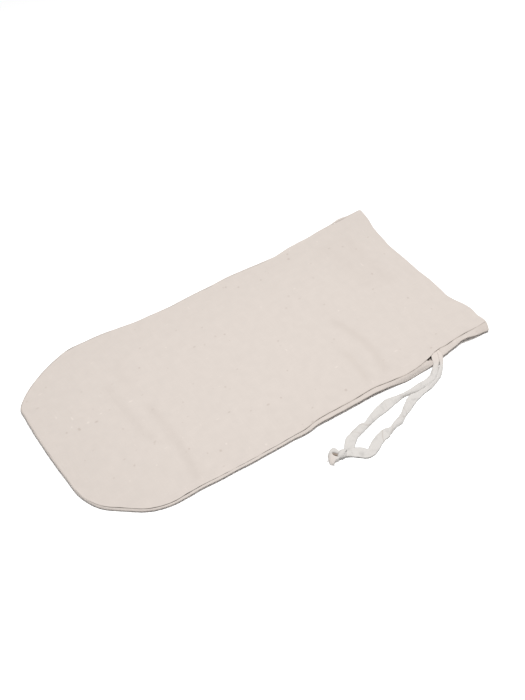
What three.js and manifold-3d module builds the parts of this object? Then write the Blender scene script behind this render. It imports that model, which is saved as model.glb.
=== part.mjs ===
// A canvas ice bag lying flat: a front and a back panel sewn together round three sides, open at the mouth,
// with a tape drawstring that leaves through the side seam and ends in a knot. Millimetres, +Z up.
// In the tables x runs from the closed end (0) to the mouth, and y from the near (-) to the far side (+).
import * as THREE from "three";
import Module from "manifold-3d";
import { mergeVertices } from "three/addons/utils/BufferGeometryUtils.js";

// Driving dimensions
const LENGTH = 370; // closed end to the nominal mouth line
const CANVAS = 1; // thickness of one panel
const HEM = 1.8; // thickness of the doubled cloth at the mouth
const HEM_DEPTH = 14;
const HEM_STEP = 1.5; // run of the step where the hem ends
const SEAM_GAP = 0.6; // groove between the panels along the seam
const CROWN_RUN = 55; // distance over which the front panel rises to its full height
const TIP_X = 58; // the spokes of the closed end meet here
const MOUTH_RUN = 70; // the mouth's curve fades out over this distance
const TAPE = 0.9; // thickness of the drawstring tape
const JOINED = 1e-3; // points closer than this are one point
const HALVINGS = 40; // steps of a search by halving

// The bag's edge in plan, from the near mouth corner round the closed end to the far mouth corner.
// inset is how far in from the edge the seam lies, height how high the rolled edge stands.
const EDGE = [
  { x: 378, y: -98.6, inset: 8.4, height: 5.6 },
  { x: 366, y: -96.4, inset: 7.0, height: 5.5 },
  { x: 354, y: -94.4, inset: 5.2, height: 5.4 },
  { x: 345, y: -92.4, inset: 3.6, height: 5.2 },
  { x: 322, y: -94.7, inset: 3.6, height: 5.2 },
  { x: 303, y: -98.6, inset: 5.2, height: 5.2 },
  { x: 290, y: -98.9, inset: 4.2, height: 5.2 },
  { x: 276, y: -98.6, inset: 3.6, height: 5.1 },
  { x: 264, y: -96.4, inset: 3.0, height: 5.0 },
  { x: 244, y: -93.6, inset: 3.0, height: 4.9 },
  { x: 228, y: -93.7, inset: 2.8, height: 4.8 },
  { x: 213, y: -93.0, inset: 2.4, height: 4.7 },
  { x: 200, y: -92.0, inset: 2.2, height: 4.6 },
  { x: 187, y: -92.7, inset: 2.4, height: 4.6 },
  { x: 172, y: -94.5, inset: 2.0, height: 4.5 },
  { x: 140, y: -92.4, inset: 1.0, height: 4.2 },
  { x: 108, y: -91.0, inset: 0.5, height: 3.8 },
  { x: 80, y: -88.9, inset: 0.5, height: 3.7 },
  { x: 56, y: -89.6, inset: 0.5, height: 3.7 },
  { x: 38, y: -85.8, inset: 0.5, height: 3.7 },
  { x: 22, y: -73.8, inset: 0.5, height: 3.7 },
  { x: 7.5, y: -61.0, inset: 0.5, height: 3.7 },
  { x: 1.2, y: -46, inset: 0.5, height: 3.7 },
  { x: -0.8, y: -22, inset: 0.5, height: 3.7 },
  { x: -0.6, y: 16, inset: 0.5, height: 3.7 },
  { x: -0.2, y: 50, inset: 0.6, height: 3.8 },
  { x: 3.4, y: 61.4, inset: 0.7, height: 3.9 },
  { x: 25, y: 77.0, inset: 0.8, height: 3.9 },
  { x: 45, y: 85.8, inset: 0.8, height: 3.9 },
  { x: 60, y: 89.2, inset: 0.8, height: 4.0 },
  { x: 76, y: 89.2, inset: 0.9, height: 4.1 },
  { x: 106, y: 86.3, inset: 1.0, height: 4.3 },
  { x: 138, y: 83.5, inset: 1.2, height: 4.5 },
  { x: 180, y: 83.8, inset: 1.4, height: 4.6 },
  { x: 226, y: 83.4, inset: 1.6, height: 4.8 },
  { x: 280, y: 83.4, inset: 1.8, height: 5.0 },
  { x: 326, y: 85.6, inset: 2.0, height: 5.2 },
  { x: 378, y: 87.6, inset: 2.4, height: 5.4 },
];

// Height of the front panel along the bag's middle
const CROWN = [
  { x: 0, z: 6.4 },
  { x: 70, z: 7.4 },
  { x: 170, z: 8.6 },
  { x: 290, z: 9.0 },
  { x: 378, z: 9.2 },
];

// Where each panel's mouth edge lies, from the near to the far side
const MOUTH = [
  { y: -100, front: 370.4, back: 367.6 },
  { y: -94, front: 370.4, back: 369.4 },
  { y: -88, front: 370.9, back: 370.6 },
  { y: -84, front: 370.2, back: 369.4 },
  { y: -80, front: 368.8, back: 368.0 },
  { y: -73, front: 368.9, back: 367.8 },
  { y: -66, front: 367.6, back: 366.2 },
  { y: -49, front: 360.4, back: 359.2 },
  { y: -12, front: 359.2, back: 358.2 },
  { y: 14, front: 360.8, back: 359.8 },
  { y: 38, front: 360.8, back: 359.8 },
  { y: 56, front: 363.4, back: 362.4 },
  { y: 71, front: 368.4, back: 367.4 },
  { y: 92, front: 371.8, back: 371.0 },
];

// Soft folds across the front panel: each runs from one point to the other, bowed towards the mouth in its
// middle. A negative rise is a trough. steep and gentle are its widths towards the closed end and the mouth.
const FOLDS = [
  { fromX: 66, fromY: 34, toX: 72, toY: -36, bow: -2, rise: 0.8, steep: 5, gentle: 9 },
  { fromX: 85, fromY: -4, toX: 81, toY: -86, bow: 3, rise: 0.9, steep: 5, gentle: 10 },
  { fromX: 265, fromY: -16, toX: 268, toY: -84, bow: 5, rise: 0.9, steep: 5, gentle: 9 },
  { fromX: 250, fromY: -48, toX: 249, toY: -84, bow: 1, rise: 0.5, steep: 5, gentle: 8 },
];
const FOLD_END = 14; // a fold fades out over this distance at each end
const FOLD_MARGIN = 12; // and over this distance from the bag's edge

// Steps between the cross rows of the panels, from TIP_X towards the mouth
const ROW_SPANS = [
  { to: 98, step: 5 },
  { to: 242, step: 13 },
  { to: 280, step: 5 },
  { to: 301, step: 8 },
  { to: 302.2, step: 1.2 },
  { to: 319.2, step: 4.6 },
  { to: 320.4, step: 1.2 },
  { to: LENGTH - HEM_DEPTH - HEM_STEP, step: 9 },
  { to: LENGTH - HEM_DEPTH, step: HEM_STEP },
  { to: LENGTH, step: 7 },
];
const END_STEPS = 26; // spokes round the closed end
const ROLL_STEPS = 7; // facets round the back panel's rolled edge
const FRONT_RINGS = [0, 0.9, 2.4, 6, 13]; // distances in from the seam
const FRONT_SHARES = [0.28, 0.43, 0.58, 0.72, 0.86, 1]; // then shares of the way to the middle
const BACK_SHARES = [0.4, 1];

// The drawstring leaves through a slot where the back panel's roll stops short of the seam.
const SLOT = { from: 302, to: 319.4, share: 0.72 };

// Routes of the two drawstring strands, out of the slot and along the floor to the knot. lift is the height
// of the tape's lowest edge, turn how far the tape has twisted, in degrees, and width how wide it is there.
const LEFT_STRAND = [
  { x: 311.6, y: -88.6, lift: 2.8, turn: 0, width: 5.6 },
  { x: 309.6, y: -93.0, lift: 2.9, turn: 0, width: 5.8 },
  { x: 307.0, y: -97.6, lift: 2.9, turn: 0, width: 6.0 },
  { x: 303.4, y: -102.2, lift: 1.7, turn: 0, width: 6.0 },
  { x: 299.0, y: -105.4, lift: 1.4, turn: 0, width: 5.8 },
  { x: 293.0, y: -107.8, lift: 1.4, turn: 0, width: 5.4 },
  { x: 286.6, y: -108.4, lift: 1.4, turn: 0, width: 5.4 },
  { x: 280.2, y: -108.2, lift: 1.4, turn: 0, width: 5.2 },
  { x: 273.4, y: -108.4, lift: 0.9, turn: 25, width: 4.6 },
  { x: 265.0, y: -109.0, lift: 0.2, turn: 75, width: 4.2 },
  { x: 259.4, y: -109.1, lift: 0.1, turn: 105, width: 4.4 },
  { x: 253.6, y: -108.9, lift: 0.1, turn: 148, width: 6.4 },
  { x: 248.0, y: -108.9, lift: 0.1, turn: 172, width: 7.8 },
  { x: 241.6, y: -109.5, lift: 0.1, turn: 180, width: 8.2 },
  { x: 235.0, y: -110.7, lift: 0.1, turn: 190, width: 7.8 },
  { x: 228.0, y: -112.7, lift: 0.1, turn: 218, width: 6.6 },
  { x: 221.6, y: -115.0, lift: 0.1, turn: 262, width: 4.8 },
  { x: 216.4, y: -116.2, lift: 0.1, turn: 305, width: 5.2 },
  { x: 210.6, y: -116.4, lift: 0.1, turn: 342, width: 6.8 },
  { x: 205.0, y: -117.4, lift: 0.1, turn: 358, width: 7.6 },
  { x: 200.2, y: -120.6, lift: 0.2, turn: 360, width: 8.2 },
  { x: 196.0, y: -123.4, lift: 1.7, turn: 362, width: 7.4 },
  { x: 190.25, y: -125.2, lift: 3.6, turn: 364, width: 4.6 },
];
const RIGHT_STRAND = [
  { x: 318.0, y: -89.4, lift: 2.8, turn: 0, width: 4.4 },
  { x: 315.8, y: -94.4, lift: 2.9, turn: 0, width: 4.4 },
  { x: 311.8, y: -99.6, lift: 2.3, turn: 0, width: 4.4 },
  { x: 307.6, y: -104.8, lift: 0.8, turn: 0, width: 4.6 },
  { x: 302.6, y: -108.4, lift: 0.1, turn: 0, width: 5.0 },
  { x: 296.4, y: -111.0, lift: 0.1, turn: 0, width: 5.6 },
  { x: 288.8, y: -112.4, lift: 0.1, turn: 0, width: 6.4 },
  { x: 281.4, y: -112.8, lift: 0.1, turn: 0, width: 6.8 },
  { x: 274.2, y: -113.4, lift: 0.1, turn: 0, width: 7.2 },
  { x: 266.6, y: -115.4, lift: 0.1, turn: 0, width: 8.2 },
  { x: 260.4, y: -117.8, lift: 0.1, turn: 4, width: 8.0 },
  { x: 255.6, y: -121.0, lift: 0.1, turn: 18, width: 7.2 },
  { x: 250.8, y: -123.8, lift: 0.1, turn: 40, width: 6.2 },
  { x: 246.0, y: -125.6, lift: 0.1, turn: 48, width: 6.2 },
  { x: 241.4, y: -127.4, lift: 0.1, turn: 50, width: 6.0 },
  { x: 236.8, y: -129.4, lift: 0.1, turn: 70, width: 4.8 },
  { x: 233.2, y: -130.6, lift: 0.1, turn: 100, width: 4.4 },
  { x: 229.6, y: -130.6, lift: 0.1, turn: 146, width: 6.6 },
  { x: 225.6, y: -130.5, lift: 0.1, turn: 172, width: 8.2 },
  { x: 220.2, y: -131.5, lift: 0.1, turn: 180, width: 8.2 },
  { x: 215.0, y: -133.7, lift: 0.1, turn: 184, width: 8.2 },
  { x: 210.4, y: -136.6, lift: 0.1, turn: 184, width: 7.6 },
  { x: 206.4, y: -137.9, lift: 0.1, turn: 182, width: 7.4 },
  { x: 203.2, y: -136.7, lift: 0.1, turn: 180, width: 7.8 },
  { x: 200.2, y: -134.2, lift: 0.1, turn: 180, width: 8.2 },
  { x: 196.6, y: -131.2, lift: 0.1, turn: 180, width: 8.2 },
  { x: 192.6, y: -129.2, lift: 0.6, turn: 176, width: 6.4 },
  { x: 188.5, y: -127.4, lift: 1.6, turn: 174, width: 4.4 },
];
const STRAND_STEP = 4; // length of one facet along a strand

// The knot: a core, two turns of tape round it and the two cut ends
const KNOT = { x: 184.4, y: -125.4, z: 3.6, length: 4.6, width: 4.6, height: 3.6 };
const KNOT_TURNS = [
  { along: -1.2, lean: 4, radius: 3.5, tape: 1.3 },
  { along: 1.4, lean: -40, radius: 3.4, tape: 1.3 },
];
const KNOT_TURN_FLAT = 0.86; // height of a turn against its width
const KNOT_FACETS = { round: 14, high: 10, tape: 6, turn: 18 };
const UPPER_TAIL = [
  { x: 184.2, y: -123.6, lift: 2.6, turn: 0, width: 4.0 },
  { x: 182.4, y: -120.6, lift: 1.8, turn: 0, width: 5.4 },
  { x: 179.9, y: -119.8, lift: 0.9, turn: 0, width: 5.8 },
  { x: 177.8, y: -121.2, lift: 0.3, turn: 0, width: 5.6 },
];
const LOWER_TAIL = [
  { x: 183.0, y: -126.4, lift: 2.2, turn: 0, width: 4.0 },
  { x: 179.6, y: -127.2, lift: 1.2, turn: 0, width: 5.4 },
  { x: 176.8, y: -127.4, lift: 0.4, turn: 0, width: 6.0 },
  { x: 174.6, y: -128.5, lift: 0.1, turn: 0, width: 6.0 },
];
const TAIL_STEP = 1.8;
const FLOOR_CUT = 40; // side of the block that trims the knot flat on the floor

const CANVAS_FINISH = { color: 0xe3d9d1, roughness: 0.95, metalness: 0 };
const TAPE_FINISH = { color: 0xe3dfd7, roughness: 0.9, metalness: 0 };

const UP = new THREE.Vector3(0, 0, 1);
const QUARTER = Math.PI / 2;

const wasm = await Module();
wasm.setup();

// Every other column of a table as a smooth function of one column.
function smooth(rows, key) {
  const columns = Object.keys(rows[0]).filter((name) => name !== key);
  const values = rows.flatMap((row) => columns.map((name) => row[name]));
  const curve = new THREE.CubicInterpolant(rows.map((row) => row[key]), values, columns.length);
  return (at) => {
    const found = curve.evaluate(at);
    return Object.fromEntries(columns.map((name, i) => [name, found[i]]));
  };
}

// A table of places with the distance along them as one more column.
function measured(rows) {
  let along = 0;
  return rows.map((row, i) => {
    const last = rows[Math.max(i - 1, 0)];
    along += Math.hypot(row.x - last.x, row.y - last.y, (row.lift ?? 0) - (last.lift ?? 0));
    return { along, ...row };
  });
}

const edgeRows = measured(EDGE);
const edgeAt = smooth(edgeRows, "along");
const crownAt = smooth(CROWN, "x");
const mouthAt = smooth(MOUTH, "y");

// The edge where it crosses x, between two distances along it.
function edgeAtX(x, from, to) {
  const rising = edgeAt(to).x > edgeAt(from).x;
  for (let halving = 0; halving < HALVINGS; halving++) {
    const middle = (from + to) / 2;
    if (edgeAt(middle).x < x === rising) from = middle;
    else to = middle;
  }
  return { along: from, ...edgeAt(from) };
}

function rowPlaces() {
  const places = [TIP_X];
  for (const { to, step } of ROW_SPANS) {
    const start = places.at(-1);
    const count = Math.max(1, Math.round((to - start) / step));
    for (let i = 1; i <= count; i++) places.push(start + ((to - start) * i) / count);
  }
  return places;
}

// Spokes from the edge to the bag's middle, in order along the edge.
function spokes() {
  const rows = rowPlaces();
  const total = edgeRows.at(-1).along;
  const turn = edgeRows.find((row) => row.x < 0).along;
  const near = rows.map((x) => edgeAtX(x, 0, turn));
  const far = rows.map((x) => edgeAtX(x, turn, total));
  const middles = rows.map((x, i) => new THREE.Vector2(x, (near[i].y + far[i].y) / 2));
  const spoke = (edge, middle, slot) => {
    const inward = new THREE.Vector2(middle.x - edge.x, middle.y - edge.y);
    return { ...edge, run: inward.length(), inward: inward.normalize(), slot };
  };
  const inSlot = (x) => x > SLOT.from && x < SLOT.to;
  const end = [];
  for (let i = 1; i < END_STEPS; i++) {
    const along = near[0].along + ((far[0].along - near[0].along) * i) / END_STEPS;
    end.push(spoke(edgeAt(along), middles[0], false));
  }
  return [
    ...near.map((edge, i) => spoke(edge, middles[i], inSlot(rows[i]))).reverse(),
    ...end,
    ...far.map((edge, i) => spoke(edge, middles[i], false)),
  ];
}

// A point of a section: in is its distance in from the edge, z its height, out the way its surface faces.
function onRoll(radius, angle) {
  const out = { in: -Math.cos(angle), z: Math.sin(angle) };
  return { in: radius + radius * out.in, z: radius + radius * out.z, out };
}

function rolledEdge({ inset, height }, share) {
  const radius = height / 2;
  const flat = Math.max(0, inset - radius);
  const seamAngle = inset < radius ? Math.acos(1 - inset / radius) : QUARTER;
  const along = share * (flat + radius * (seamAngle + QUARTER));
  if (along < flat) return { in: inset - along, z: height, out: { in: 0, z: 1 } };
  return onRoll(radius, seamAngle - (along - flat) / radius);
}

function crowned({ x, height, inward }, inside) {
  const radius = height / 2;
  if (inside < radius) return onRoll(radius, Math.acos(1 - inside / radius));
  const share = Math.min(1, (inside - radius) / CROWN_RUN);
  const rise = crownAt(x + inward.x * inside).z - height;
  const slope = (rise * QUARTER * Math.cos(QUARTER * share)) / CROWN_RUN;
  const length = Math.hypot(slope, 1);
  return {
    in: inside,
    z: height + rise * Math.sin(QUARTER * share),
    out: { in: -slope / length, z: 1 / length },
  };
}

// Height that the folds add to the front panel.
function foldsAt(x, y) {
  let height = 0;
  for (const { fromX, fromY, toX, toY, bow, rise, steep, gentle } of FOLDS) {
    const share = (y - fromY) / (toY - fromY);
    const line = fromX + (toX - fromX) * share + bow * 4 * share * (1 - share);
    const beside = x - line;
    const width = beside < 0 ? steep : gentle;
    const length = Math.abs(toY - fromY);
    const inside = Math.min(share, 1 - share) * length;
    const fade = THREE.MathUtils.smoothstep(inside, -FOLD_END / 2, FOLD_END / 2);
    height += rise * fade * Math.exp(-((beside / width) ** 2));
  }
  return height;
}

// The place of a section's point, with the mouth's curve, and of the point a thickness behind it.
function sheetPair(spoke, point, side, lift, thickness) {
  const place = (offset) => {
    const inside = point.in - point.out.in * offset;
    const x = spoke.x + spoke.inward.x * inside;
    const y = spoke.y + spoke.inward.y * inside;
    const share = THREE.MathUtils.smoothstep(spoke.x, LENGTH - MOUTH_RUN, LENGTH);
    const mouth = (mouthAt(y)[side] - LENGTH) * share;
    return new THREE.Vector3(x + mouth, y, point.z - point.out.z * offset + lift);
  };
  return { outer: place(0), inner: place(thickness) };
}

function clothThickness(x) {
  return x > LENGTH - HEM_DEPTH - JOINED ? HEM : CANVAS;
}

function frontSpoke(spoke) {
  const start = spoke.inset + SEAM_GAP;
  const rest = spoke.run - start;
  const insides = [
    ...FRONT_RINGS.map((ring) => start + ring),
    ...FRONT_SHARES.map((share) => start + rest * share),
  ];
  return insides.map((inside) => {
    const x = spoke.x + spoke.inward.x * inside;
    const y = spoke.y + spoke.inward.y * inside;
    const lift = foldsAt(x, y) * THREE.MathUtils.smoothstep(inside, 0, FOLD_MARGIN);
    return sheetPair(spoke, crowned(spoke, inside), "front", lift, clothThickness(spoke.x));
  });
}

function backSpoke(spoke) {
  const start = spoke.slot ? SLOT.share : 0;
  const radius = spoke.height / 2;
  const points = [];
  for (let i = 0; i <= ROLL_STEPS; i++) {
    points.push(rolledEdge(spoke, start + ((1 - start) * i) / ROLL_STEPS));
  }
  for (const share of BACK_SHARES) {
    points.push({ in: radius + (spoke.run - radius) * share, z: 0, out: { in: 0, z: -1 } });
  }
  return points.map((point) => sheetPair(spoke, point, "back", 0, clothThickness(spoke.x)));
}

// A closed geometry from four-cornered faces, each seen anticlockwise from outside.
function closedGeometry(faces) {
  const corners = [];
  const apart = (a, b) => a.distanceToSquared(b) > JOINED * JOINED;
  for (const [a, b, c, d] of faces) {
    for (const [p, q, r] of [[a, b, c], [a, c, d]]) {
      if (apart(p, q) && apart(q, r) && apart(r, p)) corners.push(p, q, r);
    }
  }
  return mergeVertices(new THREE.BufferGeometry().setFromPoints(corners), JOINED / 10);
}

// A sheet of cloth from spokes of outer and inner points. facesDown says which way its outer side looks.
function sheetGeometry(grid, facesDown) {
  const faces = [];
  const add = (...corners) => faces.push(facesDown ? corners : corners.reverse());
  grid.slice(1).forEach((next, i) => {
    const spoke = grid[i];
    add(spoke[0].inner, next[0].inner, next[0].outer, spoke[0].outer);
    for (let k = 1; k < spoke.length; k++) {
      add(spoke[k - 1].outer, next[k - 1].outer, next[k].outer, spoke[k].outer);
      add(spoke[k].inner, next[k].inner, next[k - 1].inner, spoke[k - 1].inner);
    }
  });
  const [first, last] = [grid[0], grid.at(-1)];
  for (let k = 1; k < first.length; k++) {
    add(first[k - 1].outer, first[k].outer, first[k].inner, first[k - 1].inner);
    add(last[k - 1].inner, last[k].inner, last[k].outer, last[k - 1].outer);
  }
  return closedGeometry(faces);
}

// A flat tape along a route: a six-sided section, turned about the route as the table says.
function tapeGeometry(rows, step) {
  const route = measured(rows);
  const total = route.at(-1).along;
  const at = smooth(route, "along");
  const place = (along) => {
    const { x, y, lift, turn, width } = at(THREE.MathUtils.clamp(along, 0, total));
    const angle = THREE.MathUtils.degToRad(turn);
    const half = (Math.abs(Math.sin(angle)) * width + Math.abs(Math.cos(angle)) * TAPE) / 2;
    return new THREE.Vector3(x, y, lift + half);
  };
  const count = Math.ceil(total / step);
  const rings = [];
  for (let i = 0; i <= count; i++) {
    const along = (total * i) / count;
    const { turn, width } = at(along);
    const ahead = place(along + step / 2).sub(place(along - step / 2)).normalize();
    const side = new THREE.Vector3().crossVectors(UP, ahead).normalize();
    side.applyAxisAngle(ahead, THREE.MathUtils.degToRad(turn));
    const face = new THREE.Vector3().crossVectors(ahead, side);
    const flat = (width - TAPE) / 2;
    const section = [[width / 2, 0], [flat, TAPE / 2], [-flat, TAPE / 2]];
    const half = section.map(([u, v]) => side.clone().multiplyScalar(u).addScaledVector(face, v));
    const ring = [...half, ...half.map((corner) => corner.clone().negate())];
    rings.push(ring.map((corner) => corner.add(place(along))));
  }
  const faces = [];
  rings.slice(1).forEach((next, i) => {
    next.forEach((corner, k) => {
      const after = (k + 1) % next.length;
      faces.push([rings[i][k], rings[i][after], next[after], corner]);
    });
  });
  const cap = ([a, b, c, d, e, f]) => faces.push([a, b, c, d], [a, d, e, f]);
  cap(rings[0].slice().reverse());
  cap(rings.at(-1));
  return closedGeometry(faces);
}

function solidOf(geometry) {
  const bare = new THREE.BufferGeometry().setAttribute("position", geometry.getAttribute("position"));
  const merged = mergeVertices(bare.setIndex(geometry.index), JOINED / 10);
  return new wasm.Manifold(
    new wasm.Mesh({
      numProp: 3,
      vertProperties: merged.attributes.position.array,
      triVerts: new Uint32Array(merged.index.array),
    }),
  );
}

function geometryOf(solid) {
  const { vertProperties, triVerts } = solid.getMesh();
  const geometry = new THREE.BufferGeometry();
  geometry.setAttribute("position", new THREE.BufferAttribute(vertProperties, 3));
  return geometry.setIndex(new THREE.BufferAttribute(triVerts, 1));
}

function knotGeometry() {
  const facets = KNOT_FACETS;
  const core = new THREE.SphereGeometry(1, facets.round, facets.high);
  core.scale(KNOT.length, KNOT.width, KNOT.height).translate(KNOT.x, KNOT.y, KNOT.z);
  let knot = solidOf(core);
  for (const { along, lean, radius, tape } of KNOT_TURNS) {
    const turn = new THREE.TorusGeometry(radius, tape, facets.tape, facets.turn).rotateY(QUARTER);
    turn.scale(1, 1, KNOT_TURN_FLAT).rotateZ(THREE.MathUtils.degToRad(lean));
    knot = knot.add(solidOf(turn.translate(KNOT.x + along, KNOT.y, KNOT.z)));
  }
  for (const tail of [UPPER_TAIL, LOWER_TAIL]) knot = knot.add(solidOf(tapeGeometry(tail, TAIL_STEP)));
  const under = new THREE.BoxGeometry(FLOOR_CUT, FLOOR_CUT, FLOOR_CUT);
  return geometryOf(knot.subtract(solidOf(under.translate(KNOT.x, KNOT.y, -FLOOR_CUT / 2))));
}

function piece(name, geometry, finish) {
  const mesh = new THREE.Mesh(geometry, new THREE.MeshStandardMaterial(finish));
  mesh.name = name;
  return mesh;
}

const path = spokes();
const front = piece("front_panel", sheetGeometry(path.map(frontSpoke), false), CANVAS_FINISH);
const back = piece("back_panel", sheetGeometry(path.map(backSpoke), true), CANVAS_FINISH);
const bag = new THREE.Group();
bag.add(front, back);
bag.add(piece("drawstring_left", tapeGeometry(LEFT_STRAND, STRAND_STEP), TAPE_FINISH));
bag.add(piece("drawstring_right", tapeGeometry(RIGHT_STRAND, STRAND_STEP), TAPE_FINISH));
bag.add(piece("drawstring_knot", knotGeometry(), TAPE_FINISH));

// The origin is on the floor under the middle of the two panels' box.
const box = new THREE.Box3().setFromObject(front).union(new THREE.Box3().setFromObject(back));
const middle = box.getCenter(new THREE.Vector3());
bag.position.set(-middle.x, -middle.y, -box.min.z);

const iceBag = new THREE.Group();
iceBag.add(bag);
export default iceBag;
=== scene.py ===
"""A canvas ice bag that lies flat with its tape drawstring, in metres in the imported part's frame."""

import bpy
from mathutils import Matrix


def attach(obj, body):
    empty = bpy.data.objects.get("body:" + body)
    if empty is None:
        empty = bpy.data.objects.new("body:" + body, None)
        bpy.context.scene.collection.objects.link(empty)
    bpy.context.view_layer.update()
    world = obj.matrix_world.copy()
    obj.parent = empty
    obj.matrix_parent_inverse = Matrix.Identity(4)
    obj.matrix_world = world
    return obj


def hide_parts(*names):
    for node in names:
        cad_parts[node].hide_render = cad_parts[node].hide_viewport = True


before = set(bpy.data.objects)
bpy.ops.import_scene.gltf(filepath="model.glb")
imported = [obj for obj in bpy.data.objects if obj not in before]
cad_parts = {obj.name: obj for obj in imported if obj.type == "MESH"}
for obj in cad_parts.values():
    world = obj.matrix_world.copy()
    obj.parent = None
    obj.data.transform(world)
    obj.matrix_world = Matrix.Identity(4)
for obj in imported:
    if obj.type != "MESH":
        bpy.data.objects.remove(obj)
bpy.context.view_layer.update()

import math

import bmesh
import bpy
import numpy as np
from mathutils import Vector, noise

MM = 0.001
MERGE = 2e-6  # corners of a piece closer than this, in metres, are one
TINY = 1e-9  # keeps a divisor from being 0

# The tables are in millimetres. x runs from the closed end (0) to the mouth, y from the near to the far side.
ORIGIN = np.array([184.923, -4.708, 0.0])  # the frame's origin in the tables
UP = (0, 0, 1)
FLOOR_GAP = 0.05  # the tape clears the floor by this much

# The bag
LENGTH = 370
CANVAS = 1.0  # thickness of the canvas
HEM = 1.7  # thickness of its mouth hem
HEM_DEPTH = 14
HEM_STEP = 1.5  # the cloth thickens to the hem over this distance
CROWN_RUN = 55  # the front panel rises over this distance from its edge
CROWN_EASE = 0.04  # how softly the rise starts
END_X = 58  # the rows across the bag give way to spokes round its closed end here
MOUTH_RUN = 70  # the rows bend to the mouth's edge over this distance
# x, y, inset of the seam, height of the rolled edge, from the near mouth corner round the closed end
EDGE = [
    (378, -98.0, 9.8, 5.4), (366, -95.8, 6.8, 5.3), (355, -95.0, 5.8, 5.3), (350, -94.3, 5.0, 5.8),
    (345, -93.5, 4.2, 6.1), (340, -92.9, 4.0, 5.6), (334, -93.7, 4.7, 5.1), (326, -94.8, 5.2, 4.9),
    (314, -96.4, 6.8, 4.9), (303, -98.2, 5.8, 4.9), (290, -98.4, 3.7, 4.8), (276, -98.6, 3.6, 4.8),
    (264, -97.0, 3.6, 4.7), (244, -94.8, 4.2, 4.6), (228, -94.4, 3.5, 4.5), (213, -94.1, 3.5, 4.4),
    (200, -93.6, 3.6, 4.2), (187, -93.2, 2.9, 4.1), (178, -94.6, 2.8, 4.0), (172, -94.5, 2.5, 3.9),
    (165, -93.8, 2.0, 3.8), (150, -93.6, 1.9, 3.6), (140, -93.3, 1.9, 3.5), (128, -93.2, 2.0, 3.4),
    (108, -92.2, 1.6, 3.4), (97, -92.0, 1.9, 3.4), (80, -90.8, 1.7, 3.4), (68, -90.9, 1.8, 3.2),
    (56, -90.4, 1.5, 2.9), (38.4, -85.3, 1.5, 2.6), (22.2, -73.7, 1.6, 2.4), (8, -60.9, 1.4, 2.6),
    (1.2, -46.2, 0.8, 2.9), (-0.9, -22, 0.5, 3.4), (-1.8, 14, 0.5, 3.6), (-0.9, 44, 0.5, 3.7),
    (0.4, 56.3, 0.6, 3.8), (5.2, 61.8, 0.7, 3.9), (25.3, 76.3, 0.8, 3.9), (45, 85.1, 0.8, 3.9),
    (60, 89.3, 0.8, 4.0), (76, 89.2, 0.9, 4.1), (90, 88.7, 0.9, 4.2), (106, 86.6, 1.0, 4.3),
    (122, 84.3, 1.1, 4.4), (138, 83.6, 1.2, 4.5), (154, 82.8, 1.3, 4.5), (180, 83.6, 1.4, 4.6),
    (200, 83.3, 1.5, 4.7), (218, 84.0, 1.6, 4.8), (236, 82.9, 1.6, 4.8), (254, 81.8, 1.7, 4.9),
    (270, 82.0, 1.8, 5.0), (284, 84.1, 1.8, 5.0), (292, 84.6, 1.9, 5.0), (306, 84.7, 1.9, 5.1),
    (326, 86.0, 2.0, 5.2), (346, 86.8, 2.2, 5.3), (378, 88.0, 2.4, 5.4),
]
# x, height of the front panel along the middle
CROWN = [(0, 6.4), (70, 7.4), (170, 8.6), (290, 9.0), (378, 9.2)]
# y, x of the front panel's mouth edge, x of the back panel's
MOUTH = [
    (-100, 370.2, 365.8), (-94, 370.2, 369.2), (-88, 370.7, 370.8), (-84, 369.9, 369.4),
    (-80, 368.7, 367.9), (-73, 369.0, 367.9), (-66, 367.4, 366.0), (-57, 363.4, 362.1), (-49, 360.8, 359.6),
    (-40, 361.0, 359.9), (-24, 361.1, 360.1), (-12, 360.1, 359.1), (2, 360.0, 359.0), (14, 359.7, 358.7),
    (30, 359.3, 358.3), (40, 360.6, 359.6), (56, 363.1, 362.1), (71, 368.0, 367.0), (92, 371.8, 371.0),
]
# Soft folds: from x, from y, to x, to y, bow towards the mouth, rise, width on the steep and on the gentle
# side of the ridge, shade
FOLDS = [
    (69, 34, 74, -36, -2, 0.8, 5, 9, 0.16), (87, -4, 83.5, -86, 3, 0.9, 5, 10, 0.25),
    (262, -16, 267, -84, 5.5, 0.9, 5, 9, 0.38), (249, -48, 248, -84, 1, 0.5, 5, 8, 0.34),
    (88, 50, 82, 16, 0, 0.3, 6, 14, 0.15), (313, 64, 318, -4, 0, 0.3, 10, 24, 0.18),
    (338, 60, 337, -10, 0, 0.3, 8, 20, 0.2),
]
FOLD_END = 14  # a fold fades out over this distance at each end
FOLD_MARGIN = 12  # and over this distance from the seam
FOLD_SHADE = (-2.0, 0.45)  # a fold's shaded side: place beside the ridge, share of the gentle width

# x of the rows across the bag, closest where the tape leaves it
ROWS = np.concatenate([
    np.linspace(END_X, 298, 127), np.linspace(298.8, 322, 30), np.linspace(323.6, LENGTH, 26),
])
END_SPOKES = 140
EDGE_STEP = 0.2  # the edge is traced in steps of this size
FRONT_RINGS = [0, 0.35, 0.8, 1.4, 2.2, 3.2, 4.5, 6, 8, 10.5]  # the front panel's columns near the seam
FRONT_STEPS = 42  # and the number of columns from there to the middle
BACK_STEPS, BROW_STEPS, UNDER_STEPS, FLOOR_STEPS = 14, 8, 10, 15  # the back panel's columns
FLOOR_SPREAD = 1.3  # above 1 the last of them widen towards the middle
CAP_TURNS = np.radians([36, 72, 108, 144])  # steps round the mouth's edge

LIP_TURNS = np.radians([105, 80, 55, 30])  # how far the cloth turns in at the seam, deepest first
LIP_RADIUS = 0.26
LIP_CLOTH = 0.45  # thickness of the cloth where it is rolled
LIP_GROWTH = [0.55, 0.7, 0.9]  # and on the columns next to that
SLOPE_STEP = 0.05  # the front panel's slope at the seam is taken over this distance
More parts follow.
